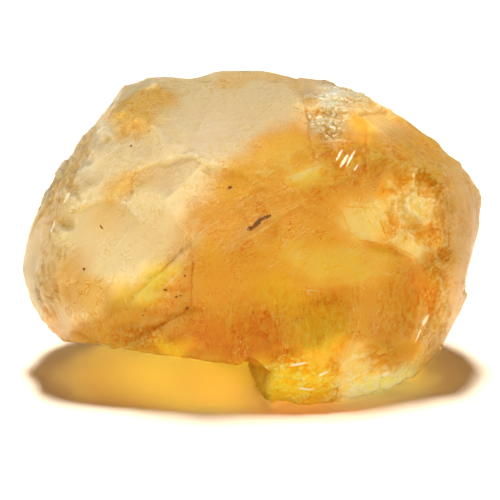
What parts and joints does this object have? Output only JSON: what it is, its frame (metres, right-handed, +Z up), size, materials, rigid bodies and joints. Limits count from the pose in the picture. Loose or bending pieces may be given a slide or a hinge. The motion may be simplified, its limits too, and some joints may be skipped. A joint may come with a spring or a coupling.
{
  "type": "citrine crystal",
  "caption": "Rough chunk of translucent yellow quartz with conchoidal broken faces, lying on a flat broken foot.",
  "frame": {"origin": "bottom centre of the stone's bounding box, on the surface it rests on", "axes": "+X along the length to the rounded right end, -Y out of the broad broken front, +Z up from the foot"},
  "size_m": [0.0452, 0.031, 0.029],
  "materials": {
    "citrine": "clear honey-yellow quartz with milky and amber zones, glossy conchoidal breaks"
  },
  "bodies": {
    "root": {"citrine": "citrine"}
  },
  "joints": []
}
